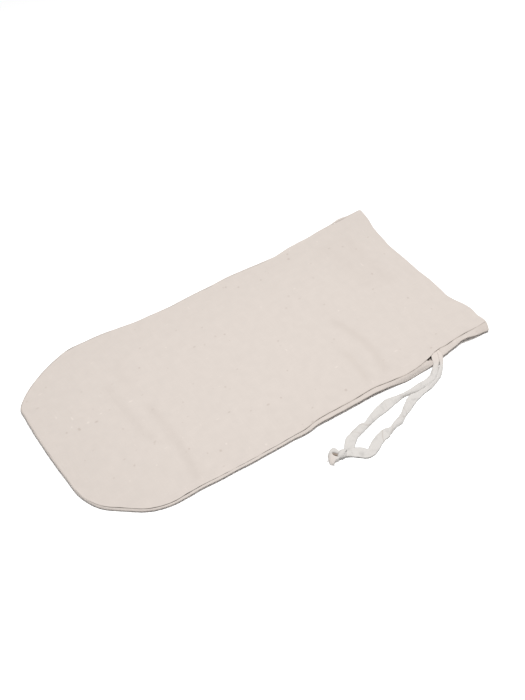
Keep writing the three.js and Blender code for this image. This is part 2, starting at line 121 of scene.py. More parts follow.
# x, gap between the panels at the seam
GROOVE = [
    (-10, 0.3), (80, 0.3), (106, 0.05), (132, 0.15), (160, 0.25), (200, 0.12), (300, 0.1), (318, -0.08),
    (324, -0.05), (330, 0.05), (350, 0.06), (358, -0.1), (366, -0.25), (378, -0.3),
]
# x, height of the brow where the back panel's edge overhangs the floor and turns under
BROW = [
    (-10, 1.2), (30, 1.6), (60, 2.2), (80, 2.8), (97, 2.8), (134, 2.8), (160, 3.0), (176, 2.9), (192, 3.6),
    (220, 3.6), (244, 3.9), (256, 3.4), (268, 2.0), (279, 1.0), (292, 1.0), (302, 2.0), (316, 3.4),
    (328, 3.6), (336, 3.8), (341, 4.8), (345, 5.4), (350, 4.9), (356, 3.7), (366, 3.1), (378, 2.9),
]
BROW_RADIUS = 0.35
EDGE_BEND = (0.38, 0.25)  # how the rolled edge bulges: shares of the inset and of the drop to the brow
UNDER_RUN = 12  # the back panel comes down to the floor over this distance from its brow
# The drawstring's slot in the seam: x, share of the rolled edge that is open there
SLOT = [(300.6, 0), (301.4, 0.22), (303.4, 0.34), (304.6, 0.46), (305.6, 0.92), (315.6, 0.92), (316.8, 0)]
SEAM_LIMIT = 0.9  # the most of the rolled edge that the seam takes up elsewhere
SEAM_LINE = 0.35  # width of the shade at the seam and at the brow
SHADED_INSET = (1.6, 3.2)  # the cloth is shaded only where the seam is set in this far
CORNER_SHADE = (352, 364)  # the edge darkens between these x towards the near mouth corner
CORNER_DEPTH = 0.5  # and by this much

# Unevenness of the cloth: rise, size of a lump, seed
FRONT_SEAM = (0.25, 9, 3.0)
FRONT_PUCKER = (0.22, 7, 5.0)
FRONT_WAVES = [(0.35, 62, 1.0), (0.12, 24, 2.0)]
BACK_SEAM = (0.2, 8, 4.0)
BACK_PUCKER = (0.14, 6, 7.0)
PUCKER_REACH = 5  # the front panel's puckers fade out over about this distance from the seam
WAVE_MARGIN = 25  # and its waves come in over this distance

# The tape
TAPE_WIDTH = 8.0
TAPE = 0.55  # its thickness
TAPE_POINTS = 17  # across the tape
TAPE_SQUARE = 8  # how square its edges are
SELVEDGE = (0.88, 0.08, 0.25)  # the thicker border: place across, width, and how much thicker
CURL = np.linspace(0, 1.9, 60)  # how far a strip curls to each side
CURL_CHORD = np.sinc(CURL / math.pi)  # and the share of its width that is left
LEAST_CURL, STRAND_CURL, TURN_CURL = 0.12, 0.6, 0.45  # the least, and the most on a strand and on the knot
TILT = math.radians(2)  # the tape's near edge stands off the floor
TAPE_UNEVEN = (0.06, 4)  # how the tape's width varies: share, size of a lump
TAPE_CRUMPLE = (0.32, 3.5)  # how its face does: rise, size of a lump
CRUMPLE_SEED = 5  # added to the seed of the width
EXIT_CURL = (7, 18)  # a strand is flat up to the first distance along it, and curled from the second
EXIT_TINT = (6, 22)  # it is as warm as the canvas up to the first, and has its own colour from the second
STRAND_STEP = 0.8  # between the sections of a strand
# The strands' routes: x, y, height of the lowest edge, turn in degrees, width as drawn in
LEFT_STRAND = [
    (312.1, -88.4, 3.5, 0, 5.8), (310.4, -91.6, 3.9, 0, 6.0), (308.2, -95.3, 3.7, 0, 6.2),
    (306.6, -98.0, 3.2, 0, 5.2), (304.6, -100.4, 2.4, 0, 4.7), (302.0, -102.7, 2.0, 0, 5.4),
    (296.0, -107.0, 1.5, 0, 6.0), (287.0, -109.1, 1.0, -4, 6.2), (280.1, -108.9, 0.85, -6, 6.2),
    (272.5, -109.1, 0.6, -12, 5.0), (266.5, -108.5, 0.25, -24, 3.8), (263.0, -108.2, 0.1, -24, 3.8),
    (256.5, -107.9, 0.1, -12, 5.8), (247.6, -107.6, 0.1, -5, 9.0), (242.4, -108.6, 0.1, -5, 8.8),
    (232.4, -110.4, 0.1, -6, 7.4), (224.3, -113.2, 0.1, -18, 5.6), (220.4, -114.5, 0.1, -22, 5.0),
    (215.5, -114.6, 0.1, -12, 7.2), (211.4, -115.3, 0.1, -8, 7.3), (207.1, -116.3, 0.1, -5, 7.4),
    (199.6, -119.8, 0.1, -4, 8.8), (196.6, -122.4, 0.1, -3, 8.6), (191.6, -125.0, 0.3, -2, 5.2),
    (187.6, -126.2, 1.2, 0, 4.6),
]
RIGHT_STRAND = [
    (316.6, -88.6, 3.4, 0, 4.6), (315.2, -92.0, 3.7, 0, 4.8), (312.8, -96.4, 3.3, 0, 4.9),
    (310.6, -100.2, 2.7, 0, 3.2), (308.3, -102.9, 2.2, 0, 2.8), (305.4, -105.2, 1.5, 0, 3.8),
    (300.9, -107.9, 0.8, 0, 5.2), (294.8, -110.0, 0.2, 0, 6.2), (288.7, -111.6, 0.1, 0, 7.0),
    (279.1, -112.4, 0.1, 0, 8.0), (270.4, -114.0, 0.1, 0, 8.4), (262.0, -117.4, 0.1, 0, 7.8),
    (255.7, -120.9, 0.1, -6, 6.4), (251.0, -123.3, 0.1, -14, 4.8), (247.8, -124.8, 0.1, -12, 5.4),
    (244.6, -126.2, 0.1, -8, 6.2), (238.2, -127.9, 0.1, -24, 4.6), (234.7, -129.1, 0.1, -32, 4.2),
    (232.3, -129.7, 0.1, -26, 5.2), (228.9, -129.4, 0.1, -10, 8.0), (226.3, -129.7, 0.1, -4, 8.8),
    (223.4, -130.0, 0.1, -4, 7.8), (220.7, -130.7, 0.1, -4, 8.2), (217.2, -132.0, 0.1, -3, 8.6),
    (211.6, -134.8, 0.1, -1, 8.2), (206.6, -136.7, 0.1, 0, 8.0), (203.4, -135.9, 0.1, 1, 9.0),
    (200.3, -132.9, 0.1, 2, 10.4), (197.0, -130.4, 0.2, 0, 9.8), (192.7, -128.4, 0.7, -3, 7.4),
    (187.2, -126.6, 1.6, -6, 5.4),
]
# Creases across the tape: x on its middle line, slant, half width, depth of the painted shade
LEFT_CREASES = [
    (262.0, -0.9, 0.6, 0.3), (244.5, 0.6, 0.5, 0.12), (218.6, -1.0, 0.7, 0.32), (208.2, -0.6, 0.5, 0.24),
]
RIGHT_CREASES = [
    (254.0, 0.7, 0.5, 0.2), (247.6, -0.9, 0.6, 0.28), (233.6, 0.8, 0.6, 0.3), (223.6, 1.0, 0.5, 0.42),
]
STRANDS = {
    "drawstring_left": (LEFT_STRAND, LEFT_CREASES), "drawstring_right": (RIGHT_STRAND, RIGHT_CREASES),
}

# The knot
KNOT = np.array([185.2, -125.6, 2.5])
KNOT_AXIS = np.array([-0.82, 0.57, 0.0])  # towards the cut ends
KNOT_SIDE = np.cross(UP, KNOT_AXIS)
TURN_POINTS, CORE_POINTS, SLIT_POINTS = 48, 24, 32  # round the knot's turn, its core and its slit's floor
RIM_POINTS, RIM_SECTION_POINTS = 72, 20  # round its cut ends, and round their section
KNOT_TURN = (-1.1, 1.4, 3.5, 2.5, 5.0)  # place along the axis, lean, half width, half height, width of tape
CORE = (3.6, 3.5, 2.5)  # half sizes of the tape inside the turn: along the axis, across it, up
CORE_TURNS = np.radians([-80, -60, -40, -20, 0, 20, 40, 60, 80])
# The two cut ends bend round to each other: middle, half sizes along the axis and across it, and lean
ENDS_OUTER = ((180.3, -123.6), 4.6, 7.4, 0.0)
ENDS_INNER = ((182.0, -124.7), 3.3, 0.5, -0.35)
ENDS_HEIGHT = 2.0
ENDS_POWERS = (0.8, 0.7, 0.4)  # how square their section is: across, up, and up towards its outer side
# Angles round the rims are in radians
ENDS_BULGES = [(1.05, 0.16), (1.95, -0.24)]  # where the outer rim stands out or is drawn in, by how much
BULGE_REACH = 0.4
ENDS_LOW = (0.9, 0.9, 0.75)  # where the outer rim is flattened, how far round, and by how much
ENDS_WARM = (0.8, 0.9, 0.8)  # where the cut ends are as warm as the canvas, how far round, and by how much
ENDS_RIPPLE = (0.3, 2.4, 6.0)  # rise, size of a lump, seed
RIPPLE_FROM = 0.3  # the ripples start at this share of the height
ENDS_WEAVE = (5.0, 2.0)  # mean radius of the rim, and of its section
# Painted shade on the sides of the cut ends towards the slit
SLIT_SIDE = (0.7, 1.0)  # the section darkens to the slit's colour between these shares of its half width
SLIT_RISE = 0.5  # the slit's floor above the middle of the cut ends
SLIT_SIZE = (1.35, 0.5)  # the slit's floor: its size beside the inner rim's, and half its thickness
SLIT_TURNS = np.radians([-70, -40, 0, 40, 70])
FRAYED = (44, -0.4, 1.6, 1.0, 2.8, 0.09)  # loose threads: count, range round the rim, lengths, thickness
FRAY_SEED = 4
FRAY_STEPS = 6
FRAY_SPREAD, FRAY_BEND = 0.45, 0.5  # how far the threads stray and bend
FRAY_ROOT = (0.93, 0.3, 1.2)  # where they start: share of the way out to the rim, lowest and highest
FRAY_DROOP, FRAY_TAPER = 1.5, 0.5  # how late they droop, and how much thinner they end

# Camera, floor and light: places in metres, angles in degrees, lens and sensor in millimetres
CAMERA = (-0.30112, -0.44969, 0.64503)
CAMERA_AZIMUTH = -34.70
CAMERA_ELEVATION = 49.56
CAMERA_LENS = 51.43
CAMERA_SENSOR = 36
FLOOR_REACH = 4
FLOOR_Z = -0.0003  # just under the bag
KEY_LIGHT = ((0.04, -0.07, 1.35), 0.54, 23.9)  # place, size, watts
WORLD_STRENGTH = 0.18

# Colours and marks
CANVAS_COLOUR = (0.56, 0.504, 0.463)
TAPE_COLOUR = (0.553, 0.530, 0.506)
# Painted shade: the dark colour painted into the slit between the tape's cut ends and along the tape's
# creases
TAPE_SHADE_COLOUR = (0.30, 0.24, 0.195)  # between the tape's cut ends
SHADED_COLOUR = (0.48, 0.425, 0.385)  # the canvas in its seam and where it turns under
FLECK_COLOUR = (0.2, 0.13, 0.09)
FLECK_DEPTH = 0.25  # how strongly a fleck tints the canvas
FLOOR_COLOUR = (0.98, 0.98, 0.98)
CANVAS_PITCH, TAPE_PITCH = 0.0007, 0.0006  # of the threads, in metres
THREAD_STRAY = 0.0003  # how far they stray, in metres
THREAD_DIP = (0.45, 0.55)  # how a thread dips to its crossings: share that dips, share that doesn't
# Colours beside the cloth's own: darkest and palest thread, then patches, slubs and the tape's warm start
CANVAS_THREADS, TAPE_THREADS = (0.93, 1.07), (0.94, 1.06)
CLOUDY, MOTTLED, SLUBBED, WORN, WARM = 0.96, 0.93, 1.1, 0.8, 1.04
CLOUDY_DEPTH = 0.5  # how strong the large patches are
MOTTLE_RANGE = (1.2, -0.35)  # factor and offset from noise to small patches
WORN_RANGE = (0.5, 0.8)  # the noise at which the tape starts to be worn, and at which it is
SLUB_RISE, THREAD_RISE = 0.5, 0.6  # heights of slubs and uneven threads beside the weave's
# Noise in the cloth: lumps to a metre across and along, detail
STRAY_NOISE, WARP_NOISE, WEFT_NOISE = (200, 200, 1.0), (45, 900, 2.0), (900, 45, 2.0)
CLOUDY_NOISE, MOTTLE_NOISE = (22, 22, 3.0), (120, 120, 2.0)
STREAK_NOISE, WORN_NOISE = (60, 1500, 2.0), (140, 140, 2.0)
# Marks in the canvas: spacing across and along in metres, size, share that shows
SLUBS = [(0.026, 0.010, 0.10, 0.35), (0.010, 0.026, 0.10, 0.3), (0.013, 0.012, 0.11, 0.3)]
FLECKS = [(0.010, 0.010, 0.15, 0.5), (0.015, 0.008, 0.14, 0.3)]
MARK_SIZES, MARK_STRENGTHS = (0.5, 0.7), (0.4, 0.5)  # how each mark varies: range, least
MARK_RIM = (0.3, 1)  # a mark fades between these shares of its size


# Curves and tables

def curve(rows, at):
    """The other columns of a table as smooth functions of its first one."""
    rows = np.array(rows, float)
    key, values = rows[:, 0], rows[:, 1:]
    slopes = np.gradient(values, key, axis=0)
    i = np.clip(np.searchsorted(key, at) - 1, 0, len(key) - 2)
    span = (key[i + 1] - key[i])[..., None]
    t = np.clip((at - key[i])[..., None] / span, 0, 1)
    ease = t * t * (3 - 2 * t)
    bend = slopes[i] * (1 - t) - slopes[i + 1] * t
    return values[i] * (1 - ease) + values[i + 1] * ease + span * t * (1 - t) * bend


def measured(rows, columns):
    """A table with the distance along its first columns put in front."""
    rows = np.array(rows, float)
    steps = np.linalg.norm(np.diff(rows[:, :columns], axis=0), axis=1)
    return np.column_stack([np.concatenate([[0], np.cumsum(steps)]), rows])


def smoothstep(x, low, high):
    """0 below low and 1 above high, smoothly."""
    t = np.clip((x - low) / (high - low), 0, 1)
    return t * t * (3 - 2 * t)


def hump(at, middle, reach):
    """1 at the middle, falling away smoothly to both sides."""
    return np.exp(-((at - middle) / reach) ** 2)


def ripple(x, y, rise, size, seed):
    """Smooth noise up and down by this rise, with lumps of about this size."""
    flat = zip(np.ravel(x) / size, np.ravel(y) / size)
    return rise * np.reshape([noise.noise((a, b, seed)) for a, b in flat], np.shape(x))


def circle(count):
    """Even angles round a circle."""
    return np.linspace(0, 2 * math.pi, count, endpoint=False)


def steps_to_one(count):
    """Even steps from just above 0 up to 1."""
    return np.linspace(0, 1, count + 1)[1:]


def in_frame(points):
    """Table millimetres as metres in the frame."""
    return ((points - ORIGIN) * MM).tolist()


# Meshes

def quads(rows, columns, close_rows=False, close_columns=False):
    """Corner numbers of the quads between the points of a grid."""
    row_range, column_range = np.arange(rows - 1 + close_rows), np.arange(columns - 1 + close_columns)
    j, k = np.meshgrid(row_range, column_range, indexing="ij")
    next_j, next_k = (j + 1) % rows, (k + 1) % columns
    corners = [j * columns + k, next_j * columns + k, next_j * columns + next_k, j * columns + next_k]
    return np.stack(corners, -1).reshape(-1, 4).tolist()


def tube_faces(rings, size):
    """Faces of a tube of rings of this many points, with both ends closed."""
    ends = [list(range(size)), list(range((rings - 1) * size, rings * size))[::-1]]
    return quads(rings, size, close_columns=True) + ends


def make_piece(name, parts, material, node):
    """One object from parts of (points, faces, weave coordinates, shade) in table millimetres."""
    points = np.concatenate([part[0] for part in parts])
    weave = np.concatenate([part[2] for part in parts]) * MM
    shade = np.concatenate([part[3] for part in parts])
    faces, first = [], 0
    for part in parts:
        faces += [[corner + first for corner in face] for face in part[1]]
        first += len(part[0])
    mesh = bpy.data.meshes.new(name)
    mesh.from_pydata(in_frame(points), [], faces)
    index = np.zeros(len(mesh.loops), int)
    mesh.loops.foreach_get("vertex_index", index)
    for layer_name, values in (("weave", weave), ("shade", shade)):
        layer = mesh.uv_layers.new(name=layer_name)
        layer.data.foreach_set("uv", values[index].ravel().astype(np.float32))
    made = bmesh.new()
    made.from_mesh(mesh)
    bmesh.ops.remove_doubles(made, verts=made.verts, dist=MERGE)
    bmesh.ops.recalc_face_normals(made, faces=made.faces)
    for face in made.faces:
        face.smooth = True
    made.to_mesh(mesh)
    made.free()
    mesh.materials.append(material)
    piece = bpy.data.objects.new(name, mesh)
    bpy.context.scene.collection.objects.link(piece)
    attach(piece, "root")
    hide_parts(node)
    return piece


# The drawstring

def tape_section(width, most):
    """Points round the tape's section, across and up, when it is drawn in to this width and curls."""
    chord = min(width / TAPE_WIDTH, 1)
    bend = max(min(np.interp(chord, CURL_CHORD[::-1], CURL[::-1]), most), LEAST_CURL)
    across = np.linspace(-1, 1, TAPE_POINTS)
    turn = across * bend
    middle = np.column_stack([np.sin(turn), np.cos(turn) - 1]) * TAPE_WIDTH / 2 / bend
    middle[:, 0] *= width / np.ptp(middle[:, 0])
    facing = np.column_stack([np.sin(turn), np.cos(turn)])
    border, reach, thicker = SELVEDGE
    half = TAPE / 2 * (1 - np.abs(across) ** TAPE_SQUARE) ** 0.5
    half = half * (1 + thicker * hump(np.abs(across), border, reach))
    ring = np.concatenate([middle + facing * half[:, None], (middle - facing * half[:, None])[-2:0:-1]])
    place = np.concatenate([across, across[-2:0:-1]]) * TAPE_WIDTH / 2
    return ring - middle.mean(0), place


def ribbon(rows, creases):
    """A tape along a route: its part for make_piece, and its middle line."""
    seed = rows[0][0]
    table = measured(rows, 3)
    count = int(math.ceil(table[-1, 0] / STRAND_STEP)) + 1
    along = np.linspace(0, table[-1, 0], count)
    x, y, lift, turn, width = curve(table, along).T
    line = np.column_stack([x, y, lift])
    ahead = np.gradient(line, axis=0)
    ahead /= np.linalg.norm(ahead, axis=1)[:, None]
    side = np.cross(UP, ahead)
    side /= np.linalg.norm(side, axis=1)[:, None]
    face = np.cross(ahead, side)
    angle = np.radians(turn)[:, None]
    angle = angle + TILT * np.cos(angle) ** 2
    side, face = side * np.cos(angle) + face * np.sin(angle), face * np.cos(angle) - side * np.sin(angle)
    width = width * (1 + ripple(along, 0 * along, *TAPE_UNEVEN, seed))
    curl = STRAND_CURL * smoothstep(along, *EXIT_CURL)
    crease_at = [np.interp(-at, -x, along) for at, *_ in creases]
    rings, weave, dark = [], [], []
    for i in range(count):
        section, place = tape_section(width[i], curl[i])
        crumple = ripple(along[i] + 0 * place, place, *TAPE_CRUMPLE, seed + CRUMPLE_SEED)[:, None]
        ring = line[i] + section[:, :1] * side[i] + (section[:, 1:] + crumple) * face[i]
        shift = max(lift[i], FLOOR_GAP) - ring[:, 2].min()
        ring[:, 2] += shift
        line[i, 2] += shift
        rings.append(ring)
        weave.append(np.column_stack([np.full(len(place), along[i]), place]))
        # painted shade along the creases
        dark.append(sum(depth * hump(along[i] - slant * place, at, half)
                        for at, (_, slant, half, depth) in zip(crease_at, creases)))
    size = len(rings[0])
    warm = np.repeat(1 - smoothstep(along, *EXIT_TINT), size)
    shade = np.column_stack([warm, np.concatenate(dark)])
    return (np.concatenate(rings), tube_faces(count, size), np.concatenate(weave), shade), line


def knot_turn(along, lean, across, up, width):
    """A flat turn of tape round the knot."""
    angle = circle(TURN_POINTS)
    section, place = tape_section(width, TURN_CURL)
    rings = []
    for a in angle:
        out = KNOT_SIDE * math.cos(a) * across + np.array([0, 0, up]) * math.sin(a)
        unit = out / np.linalg.norm(out)
        centre = KNOT + KNOT_AXIS * (along + lean * math.cos(a)) + out
        rings.append(centre + section[:, :1] * KNOT_AXIS + section[:, 1:] * unit)
    points = np.concatenate(rings)
    points[:, 2] = np.maximum(points[:, 2], FLOOR_GAP)
    weave = np.column_stack([np.repeat(angle * across, len(place)), np.tile(place, len(angle))])
    return points, quads(len(angle), len(place), True, True), weave, np.zeros((len(points), 2))


def knot_core():
    """The tape inside the turn."""
    half_along, half_across, half_up = CORE
    centre = KNOT + KNOT_AXIS * KNOT_TURN[0]
    around = circle(CORE_POINTS)
    ring = np.outer(np.cos(around), KNOT_SIDE) * half_across + np.outer(np.sin(around), (0, 0, half_up))
    rings = [centre + KNOT_AXIS * half_along * math.sin(t) + ring * math.cos(t) for t in CORE_TURNS]
    points = np.concatenate(rings)
    points[:, 2] = np.maximum(points[:, 2], FLOOR_GAP)
    return points, tube_faces(len(rings), len(around)), points[:, :2], np.zeros((len(points), 2))


def ends_rim(around, middle, half_along, half_across, lean):
    """The middle of the cut ends' outer or inner rim, and how far its points lie from that."""
    along = KNOT_AXIS * math.cos(lean) + KNOT_SIDE * math.sin(lean)
    across = KNOT_SIDE * math.cos(lean) - KNOT_AXIS * math.sin(lean)
    turned = around - lean
    reach = np.outer(np.cos(turned) * half_along, along) + np.outer(np.sin(turned) * half_across, across)
    return np.array([*middle, ENDS_HEIGHT]), reach


def ends_outer(around):
    """The same for the outer rim, with its bulges."""
    middle, reach = ends_rim(around, *ENDS_OUTER)
    bulge = sum(rise * hump(around, at, BULGE_REACH) for at, rise in ENDS_BULGES)
    return middle, reach * (1 + bulge)[:, None]


def knot_ends():
    """The two cut ends of the tape, which bend round to each other and leave a slit between them."""
    around, section = circle(RIM_POINTS), circle(RIM_SECTION_POINTS)
    outer, inner = sum(ends_outer(around)), sum(ends_rim(around, *ENDS_INNER))
    centre, half = (outer + inner) / 2, (outer - inner) / 2
    across, up, outside = ENDS_POWERS
    flat = np.sign(np.cos(section)) * np.abs(np.cos(section)) ** across
    tall = np.maximum(np.sin(section), 0) ** (up + outside * smoothstep(flat, 0, 1))
    points = centre[:, None] + half[:, None] * flat[:, None]
    at, reach, depth = ENDS_LOW
    lower = hump(around, at, reach)[:, None] * (0.5 + 0.5 * flat) * depth
    points[..., 2] = 2 * ENDS_HEIGHT * tall * (1 - lower)
    points[..., 2] += ripple(points[..., 0], points[..., 1], *ENDS_RIPPLE) * (tall > RIPPLE_FROM)
    points[..., 2] = np.maximum(points[..., 2], FLOOR_GAP)
    place = np.stack(np.broadcast_arrays(around[:, None] * ENDS_WEAVE[0], section * ENDS_WEAVE[1]), -1)
    at, reach, depth = ENDS_WARM
    warm = depth * hump(around, at, reach)[:, None] + 0 * flat
    # painted shade: the cut ends darken to the slit's dark colour towards the slit
    shade = np.stack([warm, smoothstep(-flat, *SLIT_SIDE) + 0 * warm], -1)
    faces = quads(len(around), len(section), True, True)
    return points.reshape(-1, 3), faces, place.reshape(-1, 2), shade.reshape(-1, 2)


def slit_floor():
    """Tape that closes the slit between the cut ends from below."""
    around = circle(SLIT_POINTS)
    middle, reach = ends_rim(around, *ENDS_INNER)
    size, half = SLIT_SIZE
    rings = [middle + reach * size * math.cos(t) + np.array([0, 0, SLIT_RISE + half * math.sin(t)])
             for t in SLIT_TURNS]
    points = np.concatenate(rings)
    # its colour is all painted shade: the slit's dark colour
    return points, tube_faces(len(rings), len(around)), points[:, :2], np.tile((0.0, 1.0), (len(points), 1))


def frayed_ends():
    """Loose threads that stand out from the cut ends and droop to the floor."""
    count, first, last, shortest, longest, thick = FRAYED
    chance = np.random.default_rng(FRAY_SEED)
    middle, reach = ends_outer(chance.uniform(first, last, count))
    root, lowest, highest = FRAY_ROOT
    square = np.radians([45, 135, 225, 315])
    share = np.linspace(0, 1, FRAY_STEPS)
    size = thick * (1 - FRAY_TAPER * share)
    parts = []
    for rim in reach:
        ahead = rim / np.linalg.norm(rim) + chance.normal(0, FRAY_SPREAD, 3) * (1, 1, 0)
        ahead /= np.linalg.norm(ahead)
        side = np.cross(UP, ahead)
        start = middle + rim * root
        start[2] = chance.uniform(lowest, highest)
        line = start + np.outer(share * chance.uniform(shortest, longest), ahead)
        line += np.outer(share ** 2 * chance.normal(0, FRAY_BEND), side)
        line[:, 2] = thick + (start[2] - thick) * (1 - share ** FRAY_DROOP)
        rings = line[:, None] + np.outer(size, np.cos(square))[..., None] * side
        rings[..., 2] += np.outer(size, np.sin(square))
        points = rings.reshape(-1, 3)
        faces = tube_faces(len(share), len(square))
        parts.append((points, faces, points[:, :2], np.zeros((len(points), 2))))
    return parts


# The panels

def spokes():
    """Edge points (x, y, inset, height), their distance along the edge, and the middle points they run to."""
    table = measured(EDGE, 2)
    along = np.arange(0, table[-1, 0], EDGE_STEP)
    fine = curve(table, along)
    turn = int(np.argmin(fine[:, 0]))
    near = np.interp(ROWS, fine[turn::-1, 0], along[turn::-1])
    far = np.interp(ROWS, fine[turn:, 0], along[turn:])
    end = np.linspace(near[0], far[0], END_SPOKES + 1)[1:-1]
    middle_y = (curve(table, near)[:, 1] + curve(table, far)[:, 1]) / 2
    middles = np.column_stack([ROWS, middle_y])
    places = np.concatenate([near[::-1], end, far])
    middle = np.concatenate([middles[::-1], np.repeat(middles[:1], len(end), 0), middles])
    return curve(table, places), places, middle


edge, edge_along, middle = spokes()
inward = middle - edge[:, :2]
run = np.linalg.norm(inward, axis=1)[:, None]
inward /= run
edge_x, edge_y, inset, height = (column[:, None] for column in edge.T)
radius = height / 2
groove = curve(GROOVE, edge[:, 0])
hem = smoothstep(edge_x, LENGTH - HEM_DEPTH - HEM_STEP, LENGTH - HEM_DEPTH)
slot_share = np.interp(edge_x, *np.transpose(SLOT)) * (edge_y < 0)
near_corner = smoothstep(edge_x, *CORNER_SHADE) * (edge_y < 0)


def on_plan(inside):
    """x and y at distances in from the edge."""
    return edge_x + inward[:, :1] * inside, edge_y + inward[:, 1:] * inside


def folds_at(x, y):
    """Height and shade of the soft folds."""
    raised, shade = 0, 0
    for from_x, from_y, to_x, to_y, bow, rise, steep, gentle, dark in FOLDS:
        share = (y - from_y) / (to_y - from_y)
        beside = x - (from_x + (to_x - from_x) * share + bow * 4 * share * (1 - share))
        inner = np.minimum(share, 1 - share) * abs(to_y - from_y)
        fade = smoothstep(inner, -FOLD_END / 2, FOLD_END / 2)
        raised = raised + rise * fade * hump(beside, 0, np.where(beside < 0, steep, gentle))
        shade = shade + dark * fade * hump(beside, FOLD_SHADE[0], FOLD_SHADE[1] * gentle)
    return np.array([raised, shade])


def crowned(inside):
    """Height of the front panel's outer side at distances in from the edge."""
    angle = np.arccos(np.clip(1 - inside / radius, 0, 1))
    share = np.clip((inside - radius) / CROWN_RUN, 0, 1)
    eased = (1 + CROWN_EASE) * share ** 2 / (share + CROWN_EASE)
    crown = curve(CROWN, edge_x + inward[:, :1] * inside)[..., 0]
    risen = height + (crown - height) * np.sin(math.pi / 2 * eased)
    return np.where(inside < radius, radius * (1 + np.sin(angle)), risen)


def lip(inside, z, towards, facing):
    """Distances in and heights of the cloth that turns in at the seam, from where the turn starts."""
    sine, rest = np.sin(LIP_TURNS) * LIP_RADIUS, (1 - np.cos(LIP_TURNS)) * LIP_RADIUS
    return inside + towards[0] * sine - facing[0] * rest, z + towards[1] * sine - facing[1] * rest


def front_section():
    """Distances in from the edge, heights and shade of the front panel's outer side, from the seam in."""
    start = inset + groove / 2 + LIP_RADIUS + ripple(edge_along[:, None], 0 * inset, *FRONT_SEAM)
    last = FRONT_RINGS[-1]
    rings = np.concatenate([FRONT_RINGS, np.full(FRONT_STEPS, last)])
    shares = np.concatenate([np.zeros(len(FRONT_RINGS)), steps_to_one(FRONT_STEPS)])
    inside = start + rings + (run - start - last) * shares
    z = crowned(inside)
    slope = (crowned(start + SLOPE_STEP) - crowned(start)) / SLOPE_STEP
    size = np.hypot(1, slope)
    towards, facing = (-1 / size, -slope / size), (-slope / size, 1 / size)
    lip_inside, lip_z = lip(start, z[:, :1], towards, facing)
    inside, z = np.hstack([lip_inside, inside]), np.hstack([lip_z, z])
    x, y = on_plan(inside)
    depth = np.maximum(inside - start, 0)
    folds, dark = folds_at(x, y) * smoothstep(depth, 0, FOLD_MARGIN)
    pucker = np.exp(-depth / PUCKER_REACH) * ripple(edge_along[:, None] + 0 * x, depth, *FRONT_PUCKER)
    waves = smoothstep(depth, 0, WAVE_MARGIN) * sum(ripple(x, y, *wave) for wave in FRONT_WAVES)
    shaded = smoothstep(inset, *SHADED_INSET) * (1 - np.sign(slot_share)) * (1 - near_corner)
    seam = np.exp(-depth / SEAM_LINE) * shaded
    return inside, z + folds + pucker + waves, np.maximum(seam, dark)


def back_section():
    """The same for the back panel, from the seam down to its brow and in under it to the floor."""
    brow = curve(BROW, edge[:, 0])
    bend_inside, bend_z = EDGE_BEND[0] * inset, height - EDGE_BEND[1] * (height - brow)
    total = np.hypot(inset, height - brow)
    taken = groove / 2 + LIP_RADIUS + ripple(edge_along[:, None], 0 * inset, *BACK_SEAM)
    start = np.maximum(np.minimum(taken / total, SEAM_LIMIT), slot_share)
    share = start + (1 - start) * np.linspace(0, 1, BACK_STEPS)
    inside = inset * (1 - share) ** 2 + 2 * bend_inside * share * (1 - share)
    z = height * (1 - share) ** 2 + 2 * bend_z * share * (1 - share) + brow * share ** 2
    ahead_inside = -2 * inset * (1 - share) + 2 * bend_inside * (1 - 2 * share)
    ahead_z = -2 * height * (1 - share) + 2 * bend_z * (1 - 2 * share) + 2 * brow * share
    size = np.hypot(ahead_inside, ahead_z)
    ahead_inside, ahead_z = ahead_inside / size, ahead_z / size
    towards, facing = (-ahead_inside[:, :1], -ahead_z[:, :1]), (ahead_z[:, :1], -ahead_inside[:, :1])
    lip_inside, lip_z = lip(inside[:, :1], z[:, :1], towards, facing)
    shade = np.exp(-(share - start) * total / SEAM_LINE) + np.exp(-(1 - share) * total / SEAM_LINE)
    shade = np.minimum(shade + CORNER_DEPTH * near_corner, 1)
    inside = inside - ripple(edge_along[:, None] + 0 * share, share * total, *BACK_PUCKER)
    angle = np.arctan2(-ahead_inside[:, -1:], -ahead_z[:, -1:])
    centre_inside = inside[:, -1:] + BROW_RADIUS * np.cos(angle)
    centre_z = z[:, -1:] - BROW_RADIUS * np.sin(angle)
    slant = np.arctan(2 * (centre_z - BROW_RADIUS) / UNDER_RUN)
    turn = angle - (angle + math.pi / 2 - slant) * steps_to_one(BROW_STEPS)
    brow_inside = centre_inside - BROW_RADIUS * np.cos(turn)
    brow_z = centre_z + BROW_RADIUS * np.sin(turn)
    under_share = steps_to_one(UNDER_STEPS)
    under_inside = brow_inside[:, -1:] + UNDER_RUN * under_share
    under_z = brow_z[:, -1:] * (1 - under_share) ** 2
    floor_share = steps_to_one(FLOOR_STEPS) ** FLOOR_SPREAD
    floor_inside = under_inside[:, -1:] + (run - under_inside[:, -1:]) * floor_share
    under = np.hstack([brow_inside, under_inside, floor_inside])
    inside = np.hstack([lip_inside, inside, under])
    z = np.hstack([lip_z, z, brow_z, under_z, 0 * floor_inside])
    shade = np.hstack([np.ones_like(lip_z), shade, np.ones_like(under)])
    return inside, z, shade * smoothstep(inset, *SHADED_INSET)


